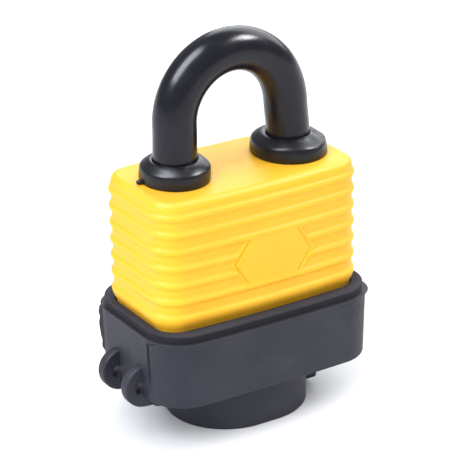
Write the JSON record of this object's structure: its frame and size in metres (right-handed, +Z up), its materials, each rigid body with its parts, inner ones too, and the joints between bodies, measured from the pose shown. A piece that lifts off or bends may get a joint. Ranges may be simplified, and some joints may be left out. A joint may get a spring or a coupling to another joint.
{
  "type": "covered laminated padlock",
  "caption": "Weatherproof laminated padlock with a ribbed plastic cover, sleeved shackle, rubber bottom boot and a hinged keyhole cover.",
  "frame": {"origin": "centre of the flat underside of the keyhole cover, on which the lock stands", "axes": "+Z up through the shackle bow, +X from the hinge-loop end to the thumb-tab end, -Y towards the badge face"},
  "size_m": [0.0691, 0.0418, 0.1027],
  "materials": {
    "yellow_plastic": "moulded thermoplastic, semi-matte",
    "boot_rubber": "soft matte dark grey rubber",
    "gloss_rubber": "glossy black seal",
    "sleeve_vinyl": "semi-gloss black vinyl",
    "hard_steel": "plated hardened steel",
    "plate_steel": "stamped steel plate",
    "cylinder_brass": "machined brass",
    "spring_steel": "drawn spring wire"
  },
  "bodies": {
    "lock_body": {"bottom_boot": "boot_rubber", "bottom_plate": "plate_steel", "cover_shell": "yellow_plastic", "cylinder_housing": "cylinder_brass", "driver_pin_1": "cylinder_brass", "driver_pin_2": "cylinder_brass", "driver_pin_3": "cylinder_brass", "driver_pin_4": "cylinder_brass", "hinge_loop_front": "boot_rubber", "hinge_loop_rear": "boot_rubber", "lamination_01": "plate_steel", "lamination_02": "plate_steel", "lamination_03": "plate_steel", "lamination_04": "plate_steel", "lamination_05": "plate_steel", "lamination_06": "plate_steel", "lamination_07": "plate_steel", "lamination_08": "plate_steel", "lamination_09": "plate_steel", "lamination_10": "plate_steel", "lamination_11": "plate_steel", "lamination_12": "plate_steel", "pin_spring_1": "spring_steel", "pin_spring_2": "spring_steel", "pin_spring_3": "spring_steel", "pin_spring_4": "spring_steel", "rivet_1": "hard_steel", "rivet_2": "hard_steel", "rivet_3": "hard_steel", "rivet_4": "hard_steel", "shackle_collar_left": "gloss_rubber", "shackle_collar_right": "gloss_rubber", "shackle_spring": "spring_steel", "top_plate": "plate_steel"},
    "shackle_body": {"shackle": "hard_steel", "shackle_sleeve": "sleeve_vinyl"},
    "plug_body": {"key_plug": "cylinder_brass", "locking_cam": "hard_steel", "key_pin_1": "cylinder_brass", "key_pin_2": "cylinder_brass", "key_pin_3": "cylinder_brass", "key_pin_4": "cylinder_brass"},
    "ball_left_body": {"locking_ball_left": "hard_steel"},
    "ball_right_body": {"locking_ball_right": "hard_steel"},
    "keyhole_cover_body": {"keyhole_cover": "boot_rubber"}
  },
  "joints": [
    {"name": "shackle_lift", "type": "slide", "parent": "lock_body", "child": "shackle_body", "axis": [0, 0, 1], "range_m": [0, 0.021], "deforming": ["shackle_spring"]},
    {"name": "plug_turn", "type": "hinge", "parent": "lock_body", "child": "plug_body", "pos_m": [0, 0, 0.0153], "axis": [0, 0, 1], "range_deg": [0, 90]},
    {"name": "ball_left_slide", "type": "slide", "parent": "lock_body", "child": "ball_left_body", "axis": [-1, 0, 0], "range_m": [0, 0.0018]},
    {"name": "ball_right_slide", "type": "slide", "parent": "lock_body", "child": "ball_right_body", "axis": [1, 0, 0], "range_m": [0, 0.0018]},
    {"name": "keyhole_cover_hinge", "type": "hinge", "parent": "keyhole_cover_body", "child": "lock_body", "pos_m": [-0.0355, 0, 0.0154], "axis": [0, -1, 0], "range_deg": [0, 110], "stiffness_Nm_per_rad": 0.02, "deforming": ["hinge_loop_front", "hinge_loop_rear"]}
  ],
  "couplings": [
    {"joint": "ball_left_slide", "follows": "plug_turn", "m_per_rad": 0.001145},
    {"joint": "ball_right_slide", "follows": "plug_turn", "m_per_rad": 0.001145}
  ]
}
